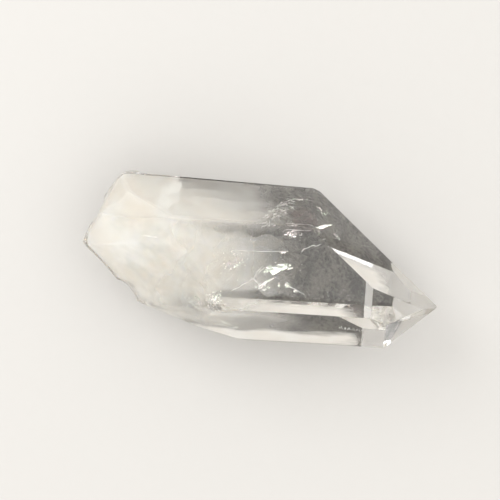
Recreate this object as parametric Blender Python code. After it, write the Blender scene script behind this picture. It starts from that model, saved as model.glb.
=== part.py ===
"""A herkimer diamond: one clear quartz crystal with a point at each end, lying on a long face.

The long axis of the crystal runs along X, with the sharp end at +X and the broken end at -X.
The crystal lies on one of its six long faces, which is flat on the plane Z = 0.
The origin is the middle of the bottom of the crystal's bounding box. Sizes are in metres.
"""

from collections import namedtuple
from math import cos, radians, sin

import bmesh
import bpy
from mathutils import Matrix, Vector
from mathutils.bvhtree import BVHTree

MM = 0.001

Break = namedtuple("Break", "azimuth lean point")
Hollow = namedtuple("Hollow", "azimuth lean aim radius depth")

# Faces are placed from a centre on the long axis, near its middle. The finished solid is then moved
# to rest on Z = 0.

# Azimuths of the six long faces, turning round the long axis from the face that looks up.
# 60 is on the +Y side, 180 is the face that the crystal lies on and 300 is on the -Y side.
TOP, TOP_FAR, BOTTOM_FAR, BOTTOM, BOTTOM_NEAR, TOP_NEAR = 0, 60, 120, 180, 240, 300

# Distance of each long face from the long axis, measured at the centre.
SIDE_DISTANCE = {
    TOP: 7.70 * MM,
    TOP_FAR: 8.33 * MM,
    BOTTOM_FAR: 7.81 * MM,
    BOTTOM: 7.70 * MM,
    BOTTOM_NEAR: 7.81 * MM,
    TOP_NEAR: 8.23 * MM,
}

# The long faces draw together a little toward the sharp end, all but the one it lies on.
SIDE_TAPER = radians(0.75)

# Angle between an end face and the long axis, and the few faces that differ from it.
END_SLOPE = radians(37.4)
SHARP_END_SLOPE = {TOP_FAR: radians(36.4), BOTTOM_FAR: radians(36.4)}
BROKEN_END_SLOPE = {BOTTOM: radians(35.4)}

# Where each end face leaves its long face, measured along X from the centre.
SHARP_END_START = {
    TOP: 13.14 * MM,
    TOP_FAR: 5.50 * MM,
    BOTTOM_FAR: 6.30 * MM,
    BOTTOM: 12.61 * MM,
    BOTTOM_NEAR: 15.15 * MM,
    TOP_NEAR: 14.97 * MM,
}
BROKEN_END_START = {
    TOP: -10.96 * MM,
    TOP_FAR: -16.75 * MM,
    BOTTOM_FAR: -16.95 * MM,
    BOTTOM: -10.30 * MM,
    BOTTOM_NEAR: -9.60 * MM,
}

# Breaks at the worn end. Azimuth and lean in degrees say which way the face looks, where the lean is
# how far it turns from a long face toward the -X end. The face passes through the point.
BREAKS = {
    "lower_break": Break(327.6, 29.3, Vector((-21.14, 0.98, 0.20)) * MM),
    "square_break": Break(65.3, 63.6, Vector((-19.74, 4.19, -0.84)) * MM),
    "steep_chip_upper_side": Break(289.0, 18.5, Vector((-13.40, -5.73, 1.09)) * MM),
    "steep_chip_lower_side": Break(261.0, 18.5, Vector((-13.40, -5.73, 1.09)) * MM),
    "shallow_chip_upper_side": Break(288.0, 11.7, Vector((-0.72, -9.39, 0.82)) * MM),
    "shallow_chip_lower_side": Break(262.0, 11.7, Vector((-0.72, -9.39, 0.82)) * MM),
}

# Shell-shaped hollows at the worn end. Each is scooped out by a ball of the stated radius, which comes
# in against the direction of azimuth and lean, aimed at a point, and goes in to the stated depth.
HOLLOWS = {
    "beside_the_tip": Hollow(89.0, 66.0, Vector((-19.40, 4.65, -0.81)) * MM, 4.0 * MM, 0.40 * MM),
    "under_the_tip": Hollow(275.0, 44.0, Vector((-15.30, -4.35, 0.95)) * MM, 2.6 * MM, 0.40 * MM),
    "upper_break": Hollow(45.0, 42.0, Vector((-16.60, 5.14, 1.36)) * MM, 7.0 * MM, 0.30 * MM),
    "lower_break": Hollow(327.6, 29.3, Vector((-12.80, -1.89, 0.17)) * MM, 12.0 * MM, 0.32 * MM),
    "steep_chip": Hollow(289.0, 18.0, Vector((-7.40, -6.89, 3.60)) * MM, 8.0 * MM, 0.34 * MM),
    "shallow_chip": Hollow(288.0, 12.0, Vector((-3.20, -8.04, 3.20)) * MM, 7.0 * MM, 0.20 * MM),
    "underside": Hollow(210.0, 38.0, Vector((-14.00, -2.39, 0.21)) * MM, 9.0 * MM, 0.30 * MM),
}

# Raised lip where the broken end meets the +Y edge: its middle and its three radii.
LIP_MIDDLE = Vector((-15.50, 8.90, -0.58)) * MM
LIP_RADII = Vector((1.30, 0.85, 1.80)) * MM

BALL_SEGMENTS = 40
BALL_RINGS = 20

BLOCK_SIZE = 80 * MM
CUT_THRESHOLD = 1e-7

QUARTZ_COLOUR = (0.90, 0.88, 0.84, 1.0)
QUARTZ_ROUGHNESS = 0.06


def clear_scene():
    for thing in list(bpy.data.objects):
        bpy.data.objects.remove(thing, do_unlink=True)


def new_collection(name):
    collection = bpy.data.collections.new(name)
    bpy.context.scene.collection.children.link(collection)
    return collection


def quartz_material():
    material = bpy.data.materials.new("quartz")
    material.use_nodes = True
    surface = material.node_tree.nodes["Principled BSDF"]
    surface.inputs["Base Color"].default_value = QUARTZ_COLOUR
    surface.inputs["Roughness"].default_value = QUARTZ_ROUGHNESS
    surface.inputs["Metallic"].default_value = 0.0
    return material


def face_normal(azimuth, lean, end):
    """Outward normal of a face: azimuth round the long axis, leaning toward the end at +1 or -1."""
    around = radians(azimuth)
    return Vector((end * sin(lean), cos(lean) * sin(around), cos(lean) * cos(around)))


def side_faces():
    """Point and normal of the six long faces."""
    faces = []
    for azimuth, distance in SIDE_DISTANCE.items():
        taper = 0.0 if azimuth == BOTTOM else SIDE_TAPER
        point = face_normal(azimuth, 0.0, 1) * distance
        faces.append((point, face_normal(azimuth, taper, 1)))
    return faces


def end_faces(starts, slopes, end):
    """Point and normal of the end faces, each starting where it leaves its long face."""
    faces = []
    for azimuth, start in starts.items():
        slope = slopes.get(azimuth, END_SLOPE)
        point = face_normal(azimuth, 0.0, 1) * SIDE_DISTANCE[azimuth]
        point.x = start
        faces.append((point, face_normal(azimuth, slope, end)))
    return faces


def break_faces():
    """Point and normal of the broken and chipped faces at the worn end."""
    return [(it.point, face_normal(it.azimuth, radians(it.lean), -1)) for it in BREAKS.values()]


def cut_flat(solid, point, normal):
    """Take away what lies outside one plane and close the cut with a flat face."""
    everything = solid.verts[:] + solid.edges[:] + solid.faces[:]
    cut = bmesh.ops.bisect_plane(
        solid, geom=everything, dist=CUT_THRESHOLD, plane_co=point, plane_no=normal, clear_outer=True
    )
    rim = [item for item in cut["geom_cut"] if isinstance(item, bmesh.types.BMEdge)]
    if rim:
        bmesh.ops.contextual_create(solid, geom=rim)


def grown_crystal():
    """The crystal with flat faces only, cut from a block around its long axis."""
    solid = bmesh.new()
    bmesh.ops.create_cube(solid, size=BLOCK_SIZE)
    faces = side_faces()
    faces += end_faces(SHARP_END_START, SHARP_END_SLOPE, 1)
    faces += end_faces(BROKEN_END_START, BROKEN_END_SLOPE, -1)
    faces += break_faces()
    for point, normal in faces:
        cut_flat(solid, point, normal)
    bmesh.ops.recalc_face_normals(solid, faces=solid.faces[:])
    return solid


def resting_shift(solid):
    """Move that brings the middle of the bottom of the bounding box to the origin."""
    xs = [vertex.co.x for vertex in solid.verts]
    ys = [vertex.co.y for vertex in solid.verts]
    ys.append(LIP_MIDDLE.y + LIP_RADII.y)
    zs = [vertex.co.z for vertex in solid.verts]
    return Vector((-(min(xs) + max(xs)) / 2, -(min(ys) + max(ys)) / 2, -min(zs)))


def add_object(name, solid, collection, material=None):
    mesh = bpy.data.meshes.new(name)
    solid.to_mesh(mesh)
    solid.free()
    thing = bpy.data.objects.new(name, mesh)
    if material:
        mesh.materials.append(material)
    collection.objects.link(thing)
    return thing


def add_ball(name, centre, radii, collection):
    """A ball or egg that is joined to the crystal or scooped out of it."""
    solid = bmesh.new()
    bmesh.ops.create_uvsphere(solid, u_segments=BALL_SEGMENTS, v_segments=BALL_RINGS, radius=1.0)
    bmesh.ops.transform(solid, matrix=Matrix.Diagonal(radii).to_4x4(), verts=solid.verts[:])
    bmesh.ops.translate(solid, vec=centre, verts=solid.verts[:])
    ball = add_object(name, solid, collection)
    ball.display_type = "WIRE"
    ball.hide_render = True
    return ball


def hollow_centre(surface, hollow, shift):
    """Middle of the ball whose edge reaches the stated depth under the surface it is aimed at."""
    direction = face_normal(hollow.azimuth, radians(hollow.lean), -1)
    outside = hollow.aim + shift + direction * BLOCK_SIZE
    touched = surface.ray_cast(outside, -direction)[0]
    return touched + direction * (hollow.radius - hollow.depth)


def combine(thing, ball, operation):
    step = thing.modifiers.new(ball.name, "BOOLEAN")
    step.operation = operation
    step.solver = "EXACT"
    step.object = ball


def main():
    clear_scene()
    parts = new_collection("herkimer_diamond")
    cutters = new_collection("cutters")
    solid = grown_crystal()
    shift = resting_shift(solid)
    bmesh.ops.translate(solid, vec=shift, verts=solid.verts[:])
    surface = BVHTree.FromBMesh(solid)
    crystal = add_object("crystal", solid, parts, quartz_material())
    combine(crystal, add_ball("lip", LIP_MIDDLE + shift, LIP_RADII, cutters), "UNION")
    for name, hollow in HOLLOWS.items():
        radii = Vector((hollow.radius,) * 3)
        ball = add_ball("hollow_" + name, hollow_centre(surface, hollow, shift), radii, cutters)
        combine(crystal, ball, "DIFFERENCE")


main()
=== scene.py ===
"""Looks of a herkimer diamond: a clear double-ended quartz crystal that lies on a long face.

X runs along the crystal toward its sharp end, Y across it and Z up. Lengths are in metres.
"""

from math import cos, pi, radians, sin

import bmesh
import bpy
import numpy as np
from mathutils import Matrix, Vector


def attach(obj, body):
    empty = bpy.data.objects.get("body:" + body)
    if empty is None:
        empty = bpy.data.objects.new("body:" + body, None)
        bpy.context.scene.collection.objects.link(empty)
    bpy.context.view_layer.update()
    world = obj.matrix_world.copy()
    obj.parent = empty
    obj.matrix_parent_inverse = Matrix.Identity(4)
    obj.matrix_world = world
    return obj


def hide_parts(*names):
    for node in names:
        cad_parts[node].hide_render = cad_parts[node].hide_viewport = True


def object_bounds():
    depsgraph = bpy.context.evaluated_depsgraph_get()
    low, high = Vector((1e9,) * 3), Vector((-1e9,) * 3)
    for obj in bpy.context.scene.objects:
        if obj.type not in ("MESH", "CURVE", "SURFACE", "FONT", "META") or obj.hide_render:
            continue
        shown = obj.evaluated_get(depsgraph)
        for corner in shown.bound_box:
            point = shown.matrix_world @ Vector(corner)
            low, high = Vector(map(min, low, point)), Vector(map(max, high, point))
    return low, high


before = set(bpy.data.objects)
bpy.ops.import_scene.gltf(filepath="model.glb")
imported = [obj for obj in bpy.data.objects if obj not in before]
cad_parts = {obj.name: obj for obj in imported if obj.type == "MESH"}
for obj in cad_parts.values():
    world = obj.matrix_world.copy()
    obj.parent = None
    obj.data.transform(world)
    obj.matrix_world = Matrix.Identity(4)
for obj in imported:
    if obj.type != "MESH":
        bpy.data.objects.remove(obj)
cad_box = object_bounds()

MM = 0.001
BOX_LOW = np.array(cad_box[0])
BOX_HIGH = np.array(cad_box[1])

# The crystal is seen turned a little round its long axis. Places inside it are given in millimetres
# from the middle of that axis as they are seen: X along the crystal, Y across it, Z toward the eye.
AXIS_MIDDLE = np.array([-0.085, -0.237, 7.70]) * MM
VIEW_LEAN = radians(5)
LEAN = np.array(Matrix.Rotation(-VIEW_LEAN, 3, "X"))

# The upper far face as it is seen: its height above the long axis is a start less a fall times Y, and
# a thing under it shows farther off than it is, by a share of its depth.
FAR_FACE_START = 14.4
FAR_FACE_FALL = 1.427
FAR_FACE_BEND = 0.424


def placed(points):
    """Points in the part's own frame, from places in millimetres as they are seen."""
    return np.asarray(points, dtype=float) * MM @ LEAN.T + AXIS_MIDDLE


def under_far_face(x, y, depth):
    """The place of a thing that shows at x and y through the upper far face and lies at a depth."""
    return (x, y - FAR_FACE_BEND * depth, FAR_FACE_START - FAR_FACE_FALL * y - depth)


# Surface of the crystal


BEVEL_WIDTH = 0.06 * MM
BROAD_BEVEL_WIDTH = 0.10 * MM
BROAD_EDGE_X = 11.5 * MM
EDGE_ANGLE = radians(20)
GRID_STEP = 1.4 * MM
FACE_ORDER = Vector((1.0, 0.618, 0.382))
SHARP_ANGLE = radians(11)
FLAT_ANGLE = radians(0.3)
SIDE_SLANT = 0.02
BROKEN_SIDE_X = 2.0 * MM
LARGE_FACE = 6 * MM**2
WORN_END_X = -9.0 * MM
SWELL_HEIGHT = 0.008 * MM
WEAR_HEIGHT = 0.06 * MM
RIPPLE_HEIGHT = 0.026 * MM


def waves(points, size, seed, count=14):
    """Smooth uneven relief: a sum of sine waves in seeded directions, of about the stated size,
    with random phases and lengths, scaled to run from about -1 to 1."""
    random = np.random.default_rng(seed)
    total = np.zeros(len(points))
    for _ in range(count):
        direction = random.normal(size=3)
        direction /= np.linalg.norm(direction)
        rate = 2 * pi / (size * random.uniform(0.7, 1.8))
        total += np.sin(points @ direction * rate + random.uniform(0, 2 * pi))
    return total / np.sqrt(count * 2)


def merged_copy(node):
    """A copy of a CAD node's mesh with its corners joined and its flat faces made whole."""
    mesh = node.data.copy()
    solid = bmesh.new()
    solid.from_mesh(mesh)
    bmesh.ops.remove_doubles(solid, verts=solid.verts[:], dist=1e-6)
    bmesh.ops.dissolve_limit(
        solid, angle_limit=FLAT_ANGLE, verts=solid.verts[:], edges=solid.edges[:],
        use_dissolve_boundaries=False
    )
    mesh.clear_geometry()
    return solid, mesh


def large_faces(solid):
    """Direction of each large flat face and its distance from the frame's origin."""
    faces = [face for face in solid.faces if face.calc_area() > LARGE_FACE]
    normals = np.array([face.normal for face in faces])
    distances = np.array([face.normal.dot(face.verts[0].co) for face in faces])
    return normals, distances


def mark_faces(solid):
    """Notes on every face whether it is broken or chipped, whether it is the long underside and
    whether it is one of the two etched faces under the sharp end."""
    broken = solid.faces.layers.float.new("broken")
    underside = solid.faces.layers.float.new("underside")
    etched = solid.faces.layers.float.new("etched")
    for face in solid.faces:
        normal = face.normal
        slanted = abs(normal.x) > SIDE_SLANT
        face[broken] = 1.0 if slanted and face.calc_center_median().x < BROKEN_SIDE_X else 0.0
        face[underside] = 1.0 if normal.z < -0.999 else 0.0
        face[etched] = 1.0 if normal.x > 0.3 and normal.z < -0.3 and normal.y < 0.3 else 0.0
    return broken


def wear_edges(solid, width, is_worn):
    """Rounds the sharp edges a little, as handling does."""
    worn = [
        edge for edge in solid.edges
        if edge.is_manifold and edge.calc_face_angle(0.0) > EDGE_ANGLE and edge.calc_length() > 8 * width
        and is_worn(edge)
    ]
    bmesh.ops.bevel(
        solid, geom=worn, offset=width, offset_type="OFFSET", segments=2, profile=0.6,
        affect="EDGES", clamp_overlap=True
    )


def crosses_underside(edge):
    """True for the edge where the underside ends at the sharp end."""
    first, second = edge.verts[0].co, edge.verts[1].co
    return min(first.x, second.x) > BROAD_EDGE_X and max(first.z, second.z) < BOX_LOW[2] + 0.5 * MM


def slice_into_grid(solid):
    """Cuts every face along planes square to X, Y and Z, so that it can carry relief. The faces are then
    put in a fixed order along one slanted direction."""
    for axis in range(3):
        normal = Vector((0, 0, 0))
        normal[axis] = 1.0
        for place in np.arange(BOX_LOW[axis] + GRID_STEP, BOX_HIGH[axis], GRID_STEP):
            point = normal * float(place)
            everything = solid.verts[:] + solid.edges[:] + solid.faces[:]
            bmesh.ops.bisect_plane(solid, geom=everything, dist=1e-6, plane_co=point, plane_no=normal)
    solid.faces.sort(key=lambda face: face.calc_center_median().dot(FACE_ORDER))


def refine(solid, broken):
    """Halves the edges of every face, and those of the broken faces once more."""
    bmesh.ops.triangulate(solid, faces=solid.faces[:])
    bmesh.ops.subdivide_edges(solid, edges=solid.edges[:], cuts=1, use_grid_fill=True)
    rough = [edge for edge in solid.edges if any(face[broken] > 0.5 for face in edge.link_faces)]
    bmesh.ops.subdivide_edges(solid, edges=rough, cuts=1, use_grid_fill=True)
    bmesh.ops.triangulate(solid, faces=solid.faces[:])


def mark_edges(solid):
    """Keeps the real edges sharp and lets all that the relief bends later stay smooth."""
    for face in solid.faces:
        face.smooth = True
    for edge in solid.edges:
        edge.smooth = edge.calc_face_angle(0.0) < SHARP_ANGLE


def relief(points, directions):
    """Height of the relief along the surface's own direction: faint growth swells all over, and on
    the broken and chipped faces shell-shaped ripples, which are waves squeezed across the face."""
    swell = SWELL_HEIGHT * waves(points, 5.0 * MM, 3)
    worn = np.clip((WORN_END_X - points[:, 0]) / (5 * MM), 0, 1) ** 1.5
    leaning = np.clip((-directions[:, 0] - 0.10) / 0.12, 0, 1)
    chipped = leaning * np.clip((BROKEN_SIDE_X - points[:, 0]) / (3 * MM), 0, 1)
    squeezed = points * np.array([0.35, 2.2, 2.2])
    ripples = RIPPLE_HEIGHT * waves(squeezed, 2.0 * MM, 12) * np.maximum(worn, chipped)
    return swell + worn * WEAR_HEIGHT * waves(points, 4.0 * MM, 11) + ripples


def crystal_surface(solid, mesh, broken):
    wear_edges(solid, BROAD_BEVEL_WIDTH, crosses_underside)
    wear_edges(solid, BEVEL_WIDTH, lambda edge: edge.calc_length() > 1 * MM)
    slice_into_grid(solid)
    refine(solid, broken)
    solid.normal_update()
    mark_edges(solid)
    solid.to_mesh(mesh)
    solid.free()
    mesh.name = "crystal_surface"
    count = len(mesh.vertices)
    points = np.empty(count * 3)
    mesh.vertices.foreach_get("co", points)
    points = points.reshape(-1, 3)
    normals = np.empty(count * 3)
    mesh.vertices.foreach_get("normal", normals)
    normals = normals.reshape(-1, 3)
    height = relief(points, normals) * np.clip((points[:, 2] - BOX_LOW[2]) / (0.5 * MM), 0, 1)
    points += normals * height[:, None]
    mesh.vertices.foreach_set("co", points.ravel())
    mesh.update()
    surface = bpy.data.objects.new("crystal_surface", mesh)
    bpy.context.scene.collection.objects.link(surface)
    return surface


# Materials


def new_material(name):
    material = bpy.data.materials.new(name)
    material.use_nodes = True
    tree = material.node_tree
    return material, tree, tree.nodes["Principled BSDF"]


def feed(tree, node, name, value):
    """Sets an input of a node, given by name or number, to a value, or links it to a socket."""
    if isinstance(value, bpy.types.NodeSocket):
        tree.links.new(value, node.inputs[name])
    else:
        node.inputs[name].default_value = value


def put(tree, kind, **inputs):
    """Adds a node and feeds its inputs by name, with _ for a space."""
    node = tree.nodes.new(kind)
    for name, value in inputs.items():
        feed(tree, node, name.replace("_", " "), value)
    return node


def map_range(tree, value, low, high, to_low, to_high):
    """A smooth step from to_low to to_high as the value goes from low to high."""
    node = put(
        tree, "ShaderNodeMapRange", Value=value, From_Min=low, From_Max=high, To_Min=to_low, To_Max=to_high
    )
    node.interpolation_type = "SMOOTHSTEP"
    return node.outputs["Result"]


def maths(tree, operation, first, second):
    node = tree.nodes.new("ShaderNodeMath")
    node.operation = operation
    feed(tree, node, 0, first)
    feed(tree, node, 1, second)
    return node.outputs[0]


def times(tree, first, second):
    return maths(tree, "MULTIPLY", first, second)


def plus(tree, first, second):
    return maths(tree, "ADD", first, second)


def object_place(tree):
    return tree.nodes.new("ShaderNodeTexCoord").outputs["Object"]


def noise(tree, where, scale, detail=3.0):
    return put(tree, "ShaderNodeTexNoise", Vector=where, Scale=scale, Detail=detail).outputs["Fac"]


def stretched(tree, where, factors, turn=0.0):
    """The place turned back about Z and then multiplied, so that a texture draws out into threads that
    run at that turn from X."""
    node = tree.nodes.new("ShaderNodeMapping")
    node.vector_type = "TEXTURE"
    tree.links.new(where, node.inputs["Vector"])
    node.inputs["Rotation"].default_value = (0.0, 0.0, turn)
    node.inputs["Scale"].default_value = [1 / factor for factor in factors]
    return node.outputs["Vector"]


def mixed_colour(tree, share, first, second):
    """The first colour where the share is 0 and the second where it is 1."""
    mixed = tree.nodes.new("ShaderNodeMix")
    mixed.data_type = "RGBA"
    sockets = [socket for socket in mixed.inputs if socket.type == "RGBA"]
    tree.links.new(share, mixed.inputs[0])
    for socket, value in zip(sockets, (first, second)):
        if isinstance(value, bpy.types.NodeSocket):
            tree.links.new(value, socket)
        else:
            socket.default_value = value
    return next(socket for socket in mixed.outputs if socket.type == "RGBA")


def face_mark(tree, name):
    mark = tree.nodes.new("ShaderNodeAttribute")
    mark.attribute_name = name
    return mark.outputs["Fac"]


QUARTZ_IOR = 1.544
ABSORPTION_COLOUR = (0.82, 0.775, 0.70, 1.0)
ABSORPTION_DENSITY = 5.0
# Two dark grey tints of the long underside: painted shade that darkens the floor seen through the crystal.
UNDERSIDE_SHADE_LIGHT = (0.22, 0.205, 0.172, 1.0)
UNDERSIDE_SHADE_DARK = (0.050, 0.044, 0.036, 1.0)
ETCHED_ROUGHNESS = 0.55


def clear_quartz():
    """Clear quartz with a glossy skin, frosted and finely ribbed where it is broken, dull on the etched
    faces under the sharp end, and with a mottled dark grey tint on the long face that it lies on: painted
    shade that darkens the floor seen straight through the crystal."""
    material, tree, shader = new_material("clear_quartz")
    where = object_place(tree)
    broken = face_mark(tree, "broken")
    # Painted shade: mottled streaks of dark grey tint, on the underside only.
    streaks = noise(tree, stretched(tree, where, (420.0, 200.0, 200.0)), 1.0, 4.0)
    speckle = maths(tree, "SUBTRACT", noise(tree, where, 2400.0, 6.0), 0.5)
    mottled = plus(tree, streaks, times(tree, speckle, 1.1))
    underside_shade = mixed_colour(tree, map_range(tree, mottled, 0.30, 0.72, 0.0, 1.0), UNDERSIDE_SHADE_DARK, UNDERSIDE_SHADE_LIGHT)
    shaded_base = mixed_colour(tree, face_mark(tree, "underside"), (1.0, 1.0, 1.0, 1.0), underside_shade)
    feed(tree, shader, "Base Color", shaded_base)
    patches = map_range(tree, noise(tree, where, 300.0, 5.0), 0.35, 0.65, 0.10, 0.21)
    etching = times(tree, face_mark(tree, "etched"), ETCHED_ROUGHNESS)
    frost = plus(tree, times(tree, broken, patches), etching)
    smudge = map_range(tree, noise(tree, where, 420.0, 6.0), 0.42, 0.75, 0.008, 0.05)
    feed(tree, shader, "Roughness", plus(tree, smudge, frost))
    ribs = noise(tree, stretched(tree, where, (500.0, 2600.0, 2600.0)), 1.0, 4.0)
    grain = noise(tree, where, 2600.0, 4.0)
    rough = times(tree, plus(tree, ribs, times(tree, grain, 0.5)), broken)
    lines = noise(tree, stretched(tree, where, (1400.0, 120.0, 120.0)), 1.0, 3.0)
    height = plus(tree, rough, times(tree, lines, 0.06))
    bump = put(tree, "ShaderNodeBump", Height=height, Strength=0.45, Distance=0.07 * MM)
    feed(tree, shader, "Normal", bump.outputs["Normal"])
    feed(tree, shader, "Transmission Weight", 1.0)
    feed(tree, shader, "IOR", QUARTZ_IOR)
    inside = put(tree, "ShaderNodeVolumeAbsorption", Color=ABSORPTION_COLOUR, Density=ABSORPTION_DENSITY)
    tree.links.new(inside.outputs["Volume"], tree.nodes["Material Output"].inputs["Volume"])
    return material


def two_tints(tree, shader, where, scale, first, second):
    """Gives the shader two colours that change places in soft patches."""
    share = map_range(tree, noise(tree, where, scale, 3.0), 0.40, 0.60, 0.0, 1.0)
    feed(tree, shader, "Base Color", mixed_colour(tree, share, first, second))


def uneven_cover(tree, shader, where, scale, detail, low, high, thinnest, thickest):
    """Gives the shader a see-through share that follows a noise from its low to its high value."""
    spots = noise(tree, where, scale, detail)
    feed(tree, shader, "Alpha", map_range(tree, spots, low, high, thinnest, thickest))


CRACK_STREAK_TURN = radians(28)


def silvery_crack(name, density, threads):
    """Air in a crack: a mirror with faint green and pink tints, broken up into patches and threads.
    The density runs from 0, mostly gone, to 1, mostly whole."""
    material, tree, shader = new_material(name)
    where = object_place(tree)
    two_tints(tree, shader, where, 700.0, (0.88, 0.95, 0.87, 1.0), (0.97, 0.91, 0.92, 1.0))
    feed(tree, shader, "Metallic", 1.0)
    feed(tree, shader, "Roughness", 0.20)
    drawn = stretched(tree, where, threads, CRACK_STREAK_TURN)
    grain = times(tree, noise(tree, where, 2600.0), 0.5)
    tatters = times(tree, maths(tree, "POWER", face_mark(tree, "rim"), 4.0), 0.24)
    veined = maths(tree, "SUBTRACT", plus(tree, noise(tree, drawn, 1.0, 4.0), grain), tatters)
    middle = 1.02 - 0.5 * density
    feed(tree, shader, "Alpha", map_range(tree, veined, middle - 0.07, middle + 0.07, 0.0, 0.95))
    bump = put(tree, "ShaderNodeBump", Height=veined, Strength=0.6, Distance=0.10 * MM)
    feed(tree, shader, "Normal", bump.outputs["Normal"])
    return material


def white_fleck():
    """Dense fine hollows: matt white with an uneven thickness."""
    material, tree, shader = new_material("white_fleck")
    where = object_place(tree)
    two_tints(tree, shader, where, 500.0, (0.95, 0.97, 0.92, 1.0), (0.98, 0.94, 0.93, 1.0))
    feed(tree, shader, "Roughness", 0.35)
    uneven_cover(tree, shader, where, 1500.0, 4.0, 0.35, 0.60, 0.35, 1.0)
    return material


def painted_reflection_sheet():
    """Painted reflection: an even cool white sheet that stands in for a bright reflection inside the
    crystal, thinning a little in soft spots.
    """
    material, tree, shader = new_material("painted_reflection_sheet")
    where = object_place(tree)
    two_tints(tree, shader, where, 400.0, (0.96, 0.975, 0.97, 1.0), (0.98, 0.98, 0.96, 1.0))
    feed(tree, shader, "Roughness", 0.6)
    uneven_cover(tree, shader, where, 700.0, 3.0, 0.30, 0.50, 0.75, 1.0)
    return material


def dark_speck_and_shadow():
    """A dull dark grain of mineral; the same dull dark colour also makes painted shadow threads beside the
    crack ribs.
    """
    material, tree, shader = new_material("dark_speck_and_shadow")
    where = object_place(tree)
    two_tints(tree, shader, where, 900.0, (0.05, 0.05, 0.04, 1.0), (0.11, 0.09, 0.07, 1.0))
    feed(tree, shader, "Roughness", 0.5)
    return material


def painted_shade_sheet():
    """Painted shade: a faint dark brown see-through sheet that darkens a patch seen through the upper far
    face.
    """
    material, tree, shader = new_material("painted_shade_sheet")
    where = object_place(tree)
    two_tints(tree, shader, where, 600.0, (0.10, 0.08, 0.075, 1.0), (0.16, 0.13, 0.12, 1.0))
    feed(tree, shader, "Roughness", 0.6)
    uneven_cover(tree, shader, where, 700.0, 4.0, 0.35, 0.65, 0.50, 0.75)
    return material


MILK_SCATTER = 2.0 * MM
MILK_WISPS = 13 * MM


def milk(name, thick_end, thin_end, thickest, wisp_size):
    """A cloud of tiny hollows: soft white that thins out in wisps from one place along X to another."""
    material, tree, shader = new_material(name)
    where = object_place(tree)
    two_tints(tree, shader, where, 150.0, (0.94, 0.928, 0.892, 1.0), (0.905, 0.873, 0.818, 1.0))
    feed(tree, shader, "Roughness", 0.7)
    feed(tree, shader, "Subsurface Weight", 1.0)
    feed(tree, shader, "Subsurface Radius", (1.0, 0.95, 0.88))
    feed(tree, shader, "Subsurface Scale", MILK_SCATTER)
    along = put(tree, "ShaderNodeSeparateXYZ", Vector=where).outputs["X"]
    wisps = noise(tree, stretched(tree, where, (0.7, 1.0, 1.0)), wisp_size, 3.0)
    reach = plus(tree, along, times(tree, maths(tree, "SUBTRACT", wisps, 0.5), MILK_WISPS))
    feed(tree, shader, "Alpha", map_range(tree, reach, thick_end, thin_end, thickest, 0.0))
    return material


# Greatest cover of the haze under the far face, along the near edge, beside it and under the lower
# near face, and the share of the far haze that is left at the sharp end.
FAR_HAZE = 0.38
RIM_HAZE = 0.95
NEAR_HAZE = 0.30
UNDER_HAZE = 0.90
FAR_HAZE_LEFT = 0.14


def edge_haze():
    """Thin white haze under the skin, with wisps: faint under the upper far face, dense along the near
    edge and under the lower near face."""
    material, tree, shader = new_material("edge_haze")
    where = object_place(tree)
    two_tints(tree, shader, where, 300.0, (0.96, 0.945, 0.91, 1.0), (0.93, 0.90, 0.85, 1.0))
    feed(tree, shader, "Roughness", 0.7)
    drawn = stretched(tree, where, (0.35, 1.0, 1.0))
    wisps = maths(tree, "SUBTRACT", noise(tree, drawn, 380.0, 5.0), 0.5)
    place = put(tree, "ShaderNodeSeparateXYZ", Vector=where)
    even_y, z = place.outputs["Y"], place.outputs["Z"]
    x = plus(tree, place.outputs["X"], times(tree, wisps, 9 * MM))
    y = plus(tree, even_y, times(tree, wisps, 2 * MM))
    upper_side = map_range(tree, z, 7.0 * MM, 8.5 * MM, 0.0, 1.0)
    lower_side = map_range(tree, z, 6.4 * MM, 7.4 * MM, 1.0, 0.0)
    not_at_end = map_range(tree, x, 9.5 * MM, 13.0 * MM, 1.0, 0.0)
    far = times(tree, map_range(tree, y, 3.2 * MM, 5.4 * MM, 0.0, FAR_HAZE), upper_side)
    far = times(tree, far, map_range(tree, x, -3 * MM, 3 * MM, 1.0, FAR_HAZE_LEFT))
    rim = times(tree, map_range(tree, y, -8.2 * MM, -7.3 * MM, RIM_HAZE, 0.0), not_at_end)
    veil = map_range(tree, y, -5.9 * MM, -5.0 * MM, NEAR_HAZE, 0.0)
    veil = times(tree, veil, map_range(tree, x, 1 * MM, 6 * MM, 1.0, 0.0))
    near = times(tree, maths(tree, "MAXIMUM", rim, veil), upper_side)
    under = times(tree, map_range(tree, even_y, -5.5 * MM, -4.8 * MM, UNDER_HAZE, 0.0), lower_side)
    under = times(tree, under, not_at_end)
    cover = maths(tree, "MAXIMUM", maths(tree, "MAXIMUM", far, near), under)
    feed(tree, shader, "Alpha", cover)
    return material


# Skins, flakes and threads


def skin_faces(rings, spokes):
    """Corner numbers of a closed skin: a first pole, rings of spokes and a last pole, facing out where
    the spokes turn to the left as they are seen from outside the first pole."""
    spoke = np.arange(spokes)
    after = (spoke + 1) % spokes
    start = 1 + np.arange(rings - 1)[:, None] * spokes
    sides = np.stack([start + spoke, start + spoke + spokes, start + after + spokes, start + after], axis=-1)
    last_ring = 1 + (rings - 1) * spokes
    first = np.stack([np.zeros(spokes, dtype=int), 1 + spoke, 1 + after], axis=-1)
    last = np.stack([last_ring + spoke, np.full(spokes, last_ring + spokes), last_ring + after], axis=-1)
    return sides.reshape(-1, 4).tolist() + first.tolist() + last.tolist()


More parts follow.
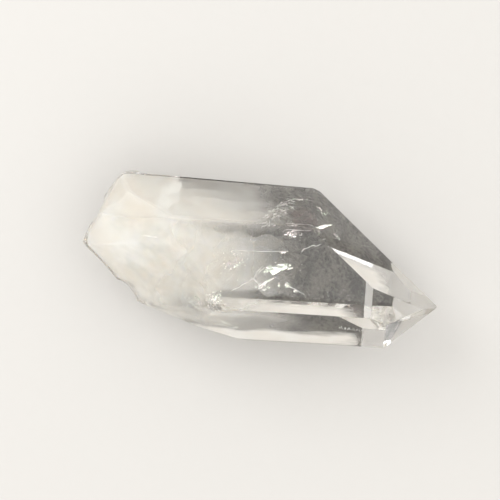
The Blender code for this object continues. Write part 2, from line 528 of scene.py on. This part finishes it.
def inner_piece(name, shapes, material):
    """One object from several lists of points and faces, joined, which rides in the crystal. A shape may
    also tell how near each of its points is to its rim, from 0 to 1."""
    points = [shape[0] for shape in shapes]
    starts = np.cumsum([0] + [len(some) for some in points])
    faces = []
    for start, shape in zip(starts, shapes):
        faces += [[corner + int(start) for corner in face] for face in shape[1]]
    mesh = bpy.data.meshes.new(name)
    mesh.from_pydata(np.concatenate(points).tolist(), [], faces)
    mesh.materials.append(material)
    mesh.shade_smooth()
    rims = [shape[2] if len(shape) > 2 else np.zeros(len(shape[0])) for shape in shapes]
    mesh.attributes.new("rim", "FLOAT", "POINT").data.foreach_set("value", np.concatenate(rims))
    mesh.update()
    thing = bpy.data.objects.new(name, mesh)
    bpy.context.scene.collection.objects.link(thing)
    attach(thing, "root")
    return thing


def flake(middle, radii, turn, tilt, lean, bend, ripple, seed, rings=20, spokes=44, thickness=0.03):
    """A thin closed flake on a grid of ring and spoke, in millimetres. The distance from the middle runs
    from 0 to 1 and back, out over the top and in under the bottom. The outline is an ellipse times 1
    plus waves round it; the height is a bend that grows with the square of the distance, plus ripples
    that run out from one side, plus or minus half of a thickness that falls to nothing at the rim."""
    random = np.random.default_rng(seed)
    share = np.linspace(0, 1, rings)
    out = np.concatenate([share[1:], share[-2:0:-1]])
    side = np.concatenate([np.ones(rings - 1), -np.ones(rings - 2)])
    angle = np.linspace(0, 2 * pi, spokes, endpoint=False)
    outline = np.ones(spokes)
    for order in range(2, 16):
        outline += random.uniform(0.05, 0.42) / order * np.sin(order * angle + random.uniform(0, 2 * pi))
    across = out[:, None] * (outline * np.cos(angle))[None, :]
    up = out[:, None] * (outline * np.sin(angle))[None, :]
    rate = random.uniform(10, 16)
    far = np.hypot(across + 0.9, up)
    height = bend * (across**2 + up**2) + ripple * np.sin(far * rate) * far
    half = 0.5 * thickness * np.sqrt(1 - out**2)
    body = np.stack([across * radii[0], up * radii[1], height + (side * half)[:, None]], axis=-1)
    pole = ripple * sin(0.9 * rate) * 0.9
    top, bottom = [[0, 0, pole + 0.5 * thickness]], [[0, 0, pole - 0.5 * thickness]]
    points = np.concatenate([top, body.reshape(-1, 3), bottom])
    pose = (
        Matrix.Rotation(radians(turn), 3, "Z")
        @ Matrix.Rotation(radians(tilt), 3, "X")
        @ Matrix.Rotation(radians(lean), 3, "Y")
    )
    rim = np.concatenate([[0], np.repeat(out, spokes), [0]])
    return placed(points @ np.array(pose).T + np.array(middle)), skin_faces(len(out), spokes), rim


def thread(path, radius, seed, wobble=0.06, steps=22, spokes=6):
    """A fine closed tube along a path in millimetres. The path is a line through the given places,
    shaken by waves; the radius is the greatest radius times the root of a half sine along it."""
    random = np.random.default_rng(seed)
    path = np.array(path, dtype=float)
    given = np.linspace(0, 1, len(path))
    along = np.linspace(0, 1, steps)
    line = np.stack([np.interp(along, given, path[:, axis]) for axis in range(3)], axis=-1)
    for rate in (2, 5, 9):
        push = wobble / rate**0.5 * random.normal(size=3)
        line += push * np.sin(rate * pi * along + random.uniform(0, 6))[:, None]
    tangent = np.gradient(line, axis=0)
    tangent /= np.linalg.norm(tangent, axis=1)[:, None]
    sideways = np.cross(tangent, (0.0, 0.0, 1.0))
    sideways /= np.linalg.norm(sideways, axis=1)[:, None] + 1e-9
    upward = np.cross(sideways, tangent)
    size = radius * np.sqrt(np.sin(pi * np.linspace(0.02, 0.98, steps)))
    angle = np.linspace(0, 2 * pi, spokes, endpoint=False)
    ring = sideways[:, None] * np.cos(angle)[None, :, None] + upward[:, None] * np.sin(angle)[None, :, None]
    body = line[:, None] + ring * size[:, None, None]
    first, last = line[0] - tangent[0] * radius, line[-1] + tangent[-1] * radius
    points = np.concatenate([[first], body.reshape(-1, 3), [last]])
    return placed(points), skin_faces(steps, spokes)


def grains(low, high, count, sizes, seed):
    """Many small uneven beads at seeded places in a box in millimetres. Each is a ball of four rings of
    six spokes, drawn out by its own three radii."""
    random = np.random.default_rng(seed)
    fall = np.linspace(0, pi, 6)[1:-1]
    angle = np.linspace(0, 2 * pi, 6, endpoint=False)
    ring = np.stack([
        np.sin(fall)[:, None] * np.cos(angle), np.sin(fall)[:, None] * np.sin(angle),
        np.repeat(np.cos(fall)[:, None], 6, axis=1)
    ], axis=-1).reshape(-1, 3)
    ball = np.concatenate([[[0, 0, 1]], ring, [[0, 0, -1]]])
    shapes = []
    for _ in range(count):
        middle = random.uniform(low, high)
        radii = random.uniform(*sizes) * random.uniform(0.5, 1.5, 3)
        shapes.append((placed(ball * radii + middle), skin_faces(4, 6)))
    return shapes


# Milk in the broken end


AXIS_TIP_X = -20.6
AXIS_TIP_Y = 1.05
BEND_X = -8.0
LEAST_SKIN_RADIUS = 0.12 * MM

# Shell-shaped hollows of the worn end. A ball came in against an azimuth round the axis and a lean from
# a long face toward -X, aimed at a place; then its radius and how deep it went, in millimetres.
HOLLOWS = [
    (89.0, 66.0, (-19.40, 4.65, -0.81), 4.0, 0.40),
    (275.0, 44.0, (-15.30, -4.35, 0.95), 2.6, 0.40),
    (45.0, 42.0, (-16.60, 5.14, 1.36), 7.0, 0.30),
    (327.6, 29.3, (-12.80, -1.89, 0.17), 12.0, 0.32),
    (289.0, 18.0, (-7.40, -6.89, 3.60), 8.0, 0.34),
    (288.0, 12.0, (-3.20, -8.04, 3.20), 7.0, 0.20),
    (210.0, 38.0, (-14.00, -2.39, 0.21), 9.0, 0.30),
]


def hollow_balls(normals, distances):
    """Middle and radius of the ball of each hollow. From the place aimed at, the ball's middle lies
    outward by the way to the nearest flat face plus the radius less the depth."""
    middles, radii = [], []
    for azimuth, lean, aim, radius, depth in HOLLOWS:
        around, leaning = radians(azimuth), radians(lean)
        outward = np.array([-sin(leaning), cos(leaning) * sin(around), cos(leaning) * cos(around)])
        place = np.array(aim) * MM + AXIS_MIDDLE
        facing = normals @ outward
        ahead = facing > 0.02
        to_face = ((distances - normals @ place)[ahead] / facing[ahead]).min()
        middles.append(place + outward * (to_face + (radius - depth) * MM))
        radii.append(radius * MM)
    return np.array(middles), np.array(radii)


def room_to_hollows(normals, distances, centre, outward, inset):
    """Distance from each centre outward to where a ball grown by the inset is met: the way to the point
    nearest the ball's middle, less the root of the grown radius squared minus the miss squared."""
    middles, radii = hollow_balls(normals, distances)
    toward = middles[None] - centre[:, None]
    along = np.einsum("rbk,sk->rsb", toward, outward)
    depth = (radii + inset * MM) ** 2 - (toward**2).sum(axis=2)[:, None] + along**2
    met = along - np.sqrt(np.maximum(depth, 0))
    return np.where((depth > 0) & (met > 0), met, 1.0).min(axis=2)


def milk_skin(normals, distances, inset, right_end, seed, dome=4.0, rings=120, spokes=144):
    """A closed skin inside the crystal on a grid of place along the axis and angle round it. At each
    place the radius is the least distance out to any large flat face or hollow, less the inset, times
    1 plus faint waves. At the clear end it closes in a dome whose radius falls with a square root."""
    along = np.linspace(right_end, AXIS_TIP_X, rings)
    aside = AXIS_TIP_Y * np.clip((BEND_X - along) / (BEND_X - AXIS_TIP_X), 0, 1)
    centre = np.stack([along, aside, np.zeros(rings)], axis=-1) * MM + AXIS_MIDDLE
    angle = np.linspace(0, 2 * pi, spokes, endpoint=False)
    outward = np.stack([np.zeros(spokes), np.cos(angle), np.sin(angle)], axis=-1)
    room = distances[None, :] - inset * MM - centre @ normals.T
    facing = outward @ normals.T
    reach = np.where(facing[None] > 0.02, room[:, None, :] / np.maximum(facing, 0.02)[None], 1.0)
    radius = np.minimum(reach.min(axis=2), room_to_hollows(normals, distances, centre, outward, inset))
    kept = radius.min(axis=1) > LEAST_SKIN_RADIUS
    kept[0] = True
    centre, radius, along = centre[kept], radius[kept], along[kept]
    closing = np.sqrt(np.clip((right_end - along) / dome, 0.0004, 1))
    points = centre[:, None] + outward[None] * (radius * closing[:, None])[:, :, None]
    points = points.reshape(-1, 3)
    push = 0.10 * inset * MM * waves(points, 3.0 * MM, seed)
    points += np.tile(outward, (len(centre), 1)) * push[:, None]
    last = centre[-1] - np.array([0.06, 0, 0]) * MM
    return np.concatenate([[centre[0]], points, [last]]), skin_faces(len(centre), spokes)


# Each skin: inset and clear end in millimetres, then where its milk is thickest and where it has gone,
# the greatest cover and the size of its wisps.
MILK = {
    "milk_skin": (0.28, -2.0, -18.0, -8.5, 0.66, 180.0),
    "milk_outer": (0.90, 2.0, -16.5, -5.5, 0.76, 150.0),
    "milk_middle": (1.90, 6.0, -15.0, -1.5, 0.60, 130.0),
    "milk_inner": (3.30, 8.0, -14.0, 2.0, 0.54, 120.0),
    "milk_core": (5.00, 8.0, -13.0, 6.5, 0.55, 130.0),
}


def milky_end(normals, distances):
    for seed, (name, (inset, right_end, thick, thin, cover, wisps)) in enumerate(MILK.items()):
        material = milk(name, thick * MM, thin * MM, cover, wisps)
        inner_piece(name, [milk_skin(normals, distances, inset, right_end, 60 + seed)], material)


# Cracks


# Each flake: middle and radii in millimetres as they are seen, then turn, tilt, lean, bend and ripple.
SOLID_FLAKES = {
    "big_flake": ((2.2, -0.45, 6.0), (1.85, 0.50), 24, 20, -8, 0.10, 0.03),
    "big_flake_root": ((1.2, -0.60, 5.8), (0.75, 0.52), 40, 24, -16, 0.10, 0.04),
    "leaf": ((0.8, -2.20, 5.6), (1.15, 0.17), 34, 18, 0, 0.10, 0.03),
    "small_flake": ((2.7, 1.46, 6.4), (0.50, 0.20), 6, 22, 6, 0.05, 0.02),
    "low_patch": ((3.4, -2.30, 5.6), (0.46, 0.30), -40, 26, 10, 0.10, 0.10),
    "low_patch_left": ((2.4, -2.35, 5.4), (0.20, 0.36), 16, 28, -12, 0.08, 0.08),
    "bright_sliver": (under_far_face(6.9, 4.95, 0.7), (1.05, 0.20), 14, 14, 0, 0.04, 0.02),
    "bright_spot": (under_far_face(6.4, 7.15, 0.8), (0.42, 0.22), -24, 34, 10, 0.05, 0.05),
}
# Painted reflection: a white sheet under the upper far face of the broken end, in place of a bright inner
# reflection.
REFLECTION_FLAKES = {
    "painted_reflection_patch": (under_far_face(-11.1, 7.0, 0.15), (1.20, 3.1), -6, -55, 0, -0.05, 0.0),
}
# Painted shade: a dark see-through sheet under the upper far face that darkens a patch of it.
SHADE_PATCH = (under_far_face(4.5, 5.6, 1.8), (1.5, 1.8), 0, -55, 0, 0.05, 0.0)
BROKEN_FLAKES = {
    "rib_field": (under_far_face(2.2, 6.3, 1.5), (2.3, 1.25), 34, 42, 0, 0.35, 0.15),
    "upper_field": (under_far_face(3.9, 7.7, 1.2), (2.0, 0.40), 4, 46, 0, 0.10, 0.08),
    "spot_field": (under_far_face(6.9, 6.7, 1.2), (0.95, 0.85), -20, 40, 8, 0.15, 0.10),
    "under_far_edge": ((3.6, 3.7, 6.2), (1.7, 0.55), 6, 26, 0, 0.15, 0.08),
    "star_field": ((0.2, -2.6, 5.2), (1.5, 0.7), 24, 26, 0, 0.25, 0.08),
    "trail_field": ((4.4, -2.9, 5.0), (1.3, 0.25), -30, 30, 0, 0.10, 0.06),
    "left_field": ((-3.0, -0.2, 6.3), (1.5, 1.1), 30, 24, 8, 0.20, 0.10),
    "lower_left_field": ((-6.9, -4.9, 5.0), (0.75, 1.25), 38, 24, 0, 0.20, 0.10),
    "blob_field": ((-4.9, -4.6, 6.6), (0.75, 1.0), -16, 20, 0, 0.20, 0.12),
    "low_rim_field": ((-3.6, -6.2, 1.0), (2.6, 0.7), -20, 20, 0, 0.20, 0.08),
    "corner_field": ((8.2, 3.1, 3.4), (0.45, 0.9), 34, 30, 0, 0.15, 0.08),
}

# Each thread: its path in millimetres as it is seen, then its radius.
THREADS = {
    "star_up": (((-0.6, -1.9, 5.9), (-0.2, -1.0, 6.0), (0.3, -0.3, 6.1)), 0.035),
    "star_up_twin": (((-0.45, -1.75, 5.9), (0.1, -1.0, 6.0), (0.6, -0.45, 6.1)), 0.030),
    "star_left": (((-0.6, -1.9, 5.9), (-1.8, -2.7, 5.8), (-3.1, -3.5, 5.7)), 0.045),
    "star_level": (((-0.6, -1.9, 5.9), (-1.5, -2.3, 5.9)), 0.030),
    "star_down": (((-0.6, -1.9, 5.9), (0.1, -2.5, 5.8), (0.7, -2.3, 5.8)), 0.050),
    "long_line": (((-3.5, 1.2, 6.6), (-0.5, 1.30, 6.6), (2.6, 1.5, 6.6)), 0.028),
    "arc": (((4.6, 1.5, 5.8), (5.1, 2.05, 5.9), (6.0, 2.4, 5.9), (6.9, 2.65, 5.8)), 0.045),
    "edge_curve": (((2.3, 3.75, 6.2), (3.0, 4.15, 6.2), (5.6, 4.2, 6.1)), 0.030),
    "trail": (((3.6, -2.5, 5.4), (4.4, -2.8, 5.3), (5.5, -3.4, 5.2)), 0.035),
    "white_line": (((-13.9, 2.2, 6.6), (-11.0, 1.95, 6.7), (-7.8, 1.85, 6.5)), 0.035),
    "low_streak_left": (((-1.2, -7.1, 1.8), (0.8, -7.0, 1.8)), 0.05),
    "low_streak_middle": (((0.0, -7.3, 1.6), (1.2, -7.65, 1.6), (2.4, -7.7, 1.5)), 0.05),
    "low_streak_right": (((2.4, -7.35, 1.6), (4.1, -7.7, 1.5)), 0.05),
}

RIB_COUNT = 30
RIB_DEPTH = 0.9


def rib_threads(seed, aside, thinnest, thickest):
    """Curved ribs of a shell-shaped crack under the upper far face. From the first rib to the last the
    start moves up along a slant and the direction turns from upright toward level."""
    random = np.random.default_rng(seed)
    shapes = []
    for share in np.linspace(0, 1, RIB_COUNT):
        x = 0.1 + aside + 2.3 * share + random.uniform(-0.5, 0.5)
        y = 4.7 + 2.5 * share + random.uniform(-0.5, 0.3)
        heading = radians(78 - 62 * share + random.uniform(-12, 12))
        bend = radians(random.uniform(10, 40))
        length = random.uniform(0.7, 2.1)
        path = []
        for step in np.linspace(0, 1, 7):
            turned = heading - bend * step
            out = length * step
            path.append(under_far_face(x + out * cos(turned), y + out * sin(turned), RIB_DEPTH))
        radius = random.uniform(thinnest, thickest)
        shapes.append(thread(path, radius, 40 * seed + int(40 * share), wobble=0.14))
    return shapes


def hair_threads():
    """Short upright hairs side by side, where a growth line ends near the sharp end."""
    random = np.random.default_rng(9)
    shapes = []
    for x in np.arange(9.8, 12.6, 0.2):
        y = -6.35 - 0.16 * (x - 9.8) + random.uniform(-0.1, 0.1)
        height = random.uniform(0.25, 0.8)
        path = ((x, y, 2.6), (x + random.uniform(-0.1, 0.1), y + height, 2.6))
        shapes.append(thread(path, random.uniform(0.02, 0.045), int(x * 10), wobble=0.03, steps=8))
    return shapes


HAZE_INSET = 0.20
HAZE_END = 13.6


def haze_under_skin(normals, distances):
    skin = milk_skin(normals, distances, HAZE_INSET, HAZE_END, 90, dome=1.5)
    inner_piece("edge_haze", [skin], edge_haze())


def cracks():
    whole = silvery_crack("silvery_crack", 0.84, (420.0, 3000.0, 3000.0))
    broken = silvery_crack("threaded_crack", 0.44, (520.0, 4600.0, 4600.0))
    white = white_fleck()
    inner_piece("shade_patch", [flake(*SHADE_PATCH, 160)], painted_shade_sheet())
    for seed, (name, numbers) in enumerate(SOLID_FLAKES.items()):
        inner_piece(name, [flake(*numbers, 100 + seed)], whole)
    for seed, (name, numbers) in enumerate(REFLECTION_FLAKES.items()):
        inner_piece(name, [flake(*numbers, 120 + seed)], painted_reflection_sheet())
    for seed, (name, numbers) in enumerate(BROKEN_FLAKES.items()):
        inner_piece(name, [flake(*numbers, 130 + seed)], broken)
    lines = [thread(path, radius, 170 + seed) for seed, (path, radius) in enumerate(THREADS.values())]
    inner_piece("crack_threads", lines, white)
    inner_piece("crack_ribs", rib_threads(5, 0.0, 0.030, 0.065), white)
    # Painted shadow: dark threads laid just beside the white ribs.
    inner_piece("rib_shadows", rib_threads(6, 0.12, 0.030, 0.050), dark_speck_and_shadow())
    inner_piece("growth_hairs", hair_threads(), white)


# Each cloud of beads: low and high corner of its box in millimetres as it is seen, number of beads,
# least and greatest radius.
PALE_BEADS = {
    "beads_middle": ((-4.0, -2.6, 4.4), (5.5, 3.6, 6.5), 120, (0.02, 0.05)),
    "beads_left": ((-4.6, -1.6, 5.9), (-1.4, 1.6, 6.9), 60, (0.02, 0.07)),
    "beads_blob": ((-5.7, -5.5, 5.2), (-4.2, -3.6, 6.0), 90, (0.03, 0.10)),
    "beads_lower_left": ((-8.2, -5.8, 3.3), (-5.8, -3.6, 4.1), 70, (0.03, 0.08)),
    "beads_low_rim": ((-9.0, -7.6, 0.0), (-1.0, -6.0, 1.8), 90, (0.03, 0.08)),
    "beads_sparkle": ((2.9, 3.2, 3.6), (4.8, 4.2, 4.6), 18, (0.02, 0.06)),
    "beads_corner": ((7.8, 2.4, 2.4), (8.6, 4.0, 4.0), 26, (0.02, 0.05)),
    "beads_low_right": ((3.8, -4.0, 5.8), (12.2, -2.4, 6.7), 220, (0.012, 0.035)),
}
DARK_BEADS = {
    "specks_low_right": ((3.6, -4.1, 5.8), (12.4, -2.2, 6.7), 330, (0.012, 0.040)),
    "specks_right": ((4.2, -3.2, 4.6), (9.6, 1.6, 6.6), 130, (0.010, 0.030)),
    "specks_corner": ((7.6, 2.3, 2.2), (8.7, 4.1, 4.0), 30, (0.02, 0.06)),
    "specks_ribs": ((0.4, 4.0, 3.2), (3.0, 6.0, 4.6), 30, (0.02, 0.05)),
}


def beads():
    white, dark = white_fleck(), dark_speck_and_shadow()
    for seed, (name, numbers) in enumerate(PALE_BEADS.items()):
        inner_piece(name, grains(*numbers, 300 + seed), white)
    for seed, (name, numbers) in enumerate(DARK_BEADS.items()):
        inner_piece(name, grains(*numbers, 340 + seed), dark)


# Floor, light and camera


FLOOR_GAP = 0.02 * MM
FLOOR_RADIUS = 0.6
FLOOR_COLOUR = (0.425, 0.418, 0.408, 1.0)
SKY_COLOUR = (1.0, 0.98, 0.945, 1.0)
SKY_LOW = 1.45
SKY_HIGH = 1.90
LAMP_SIZE = 0.22
LAMP_WATTS = 0.55
LAMP_PLACE = (-0.20, 0.16, 0.26)


def floor():
    """A flat disc just under the crystal."""
    angle = np.linspace(0, 2 * pi, 64, endpoint=False)
    height = np.full(64, BOX_LOW[2] - FLOOR_GAP)
    rim = np.stack([FLOOR_RADIUS * np.cos(angle), FLOOR_RADIUS * np.sin(angle), height], axis=-1)
    mesh = bpy.data.meshes.new("floor")
    mesh.from_pydata(rim.tolist(), [], [list(range(64))])
    material, tree, shader = new_material("floor_paint")
    where = object_place(tree)
    grain = noise(tree, where, 900.0, 4.0)
    feed(tree, shader, "Roughness", map_range(tree, grain, 0.3, 0.7, 0.55, 0.65))
    feed(tree, shader, "Base Color", FLOOR_COLOUR)
    mesh.materials.append(material)
    thing = bpy.data.objects.new("floor", mesh)
    bpy.context.scene.collection.objects.link(thing)


def studio_light():
    """An even dome, and one large soft lamp up and to the left."""
    world = bpy.data.worlds.new("studio")
    world.use_nodes = True
    tree = world.node_tree
    direction = tree.nodes.new("ShaderNodeTexCoord").outputs["Generated"]
    up = put(tree, "ShaderNodeSeparateXYZ", Vector=direction).outputs["Z"]
    sky = tree.nodes["Background"]
    feed(tree, sky, "Strength", map_range(tree, up, 0.0, 0.9, SKY_LOW, SKY_HIGH))
    feed(tree, sky, "Color", SKY_COLOUR)
    bpy.context.scene.world = world
    lamp_data = bpy.data.lights.new("soft_lamp", "AREA")
    lamp_data.shape = "DISK"
    lamp_data.size = LAMP_SIZE
    lamp_data.energy = LAMP_WATTS
    lamp = bpy.data.objects.new("soft_lamp", lamp_data)
    lamp.location = LAMP_PLACE
    lamp.rotation_euler = (Vector((0, 0, 0)) - lamp.location).to_track_quat("-Z", "Y").to_euler()
    bpy.context.scene.collection.objects.link(lamp)


# In the view the crystal lies turned a little clockwise and fills most of a square.
CAMERA_TURN = radians(4.1)
VIEW_MIDDLE = (-1.27, 1.36, 0.0)
VIEW_WIDTH = 58.925 * MM
LENS = 400.0
SENSOR = 36.0


def camera():
    data = bpy.data.cameras.new("camera")
    data.lens = LENS
    data.sensor_width = SENSOR
    data.clip_end = 10.0
    thing = bpy.data.objects.new("camera", data)
    toward = Vector((0.0, sin(VIEW_LEAN), cos(VIEW_LEAN)))
    thing.location = Vector(placed([VIEW_MIDDLE])[0]) + toward * (VIEW_WIDTH * LENS / SENSOR)
    pose = Matrix.Rotation(-VIEW_LEAN, 3, "X") @ Matrix.Rotation(CAMERA_TURN, 3, "Z")
    thing.rotation_euler = pose.to_euler()
    bpy.context.scene.collection.objects.link(thing)
    bpy.context.scene.camera = thing


# Light is reflected many times inside the crystal and passes many thin veils on its way.
LIGHT_BOUNCES = 24
SEEN_THROUGH_LAYERS = 128


def main():
    solid, mesh = merged_copy(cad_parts["crystal"])
    normals, distances = large_faces(solid)
    surface = crystal_surface(solid, mesh, mark_faces(solid))
    mesh.materials.clear()
    mesh.materials.append(clear_quartz())
    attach(surface, "root")
    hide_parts("crystal")
    milky_end(normals, distances)
    haze_under_skin(normals, distances)
    cracks()
    beads()
    floor()
    studio_light()
    camera()
    scene = bpy.context.scene
    scene.view_settings.view_transform = "Standard"
    scene.cycles.max_bounces = LIGHT_BOUNCES
    scene.cycles.glossy_bounces = LIGHT_BOUNCES
    scene.cycles.transmission_bounces = LIGHT_BOUNCES
    scene.cycles.diffuse_bounces = 8
    scene.cycles.transparent_max_bounces = SEEN_THROUGH_LAYERS


main()
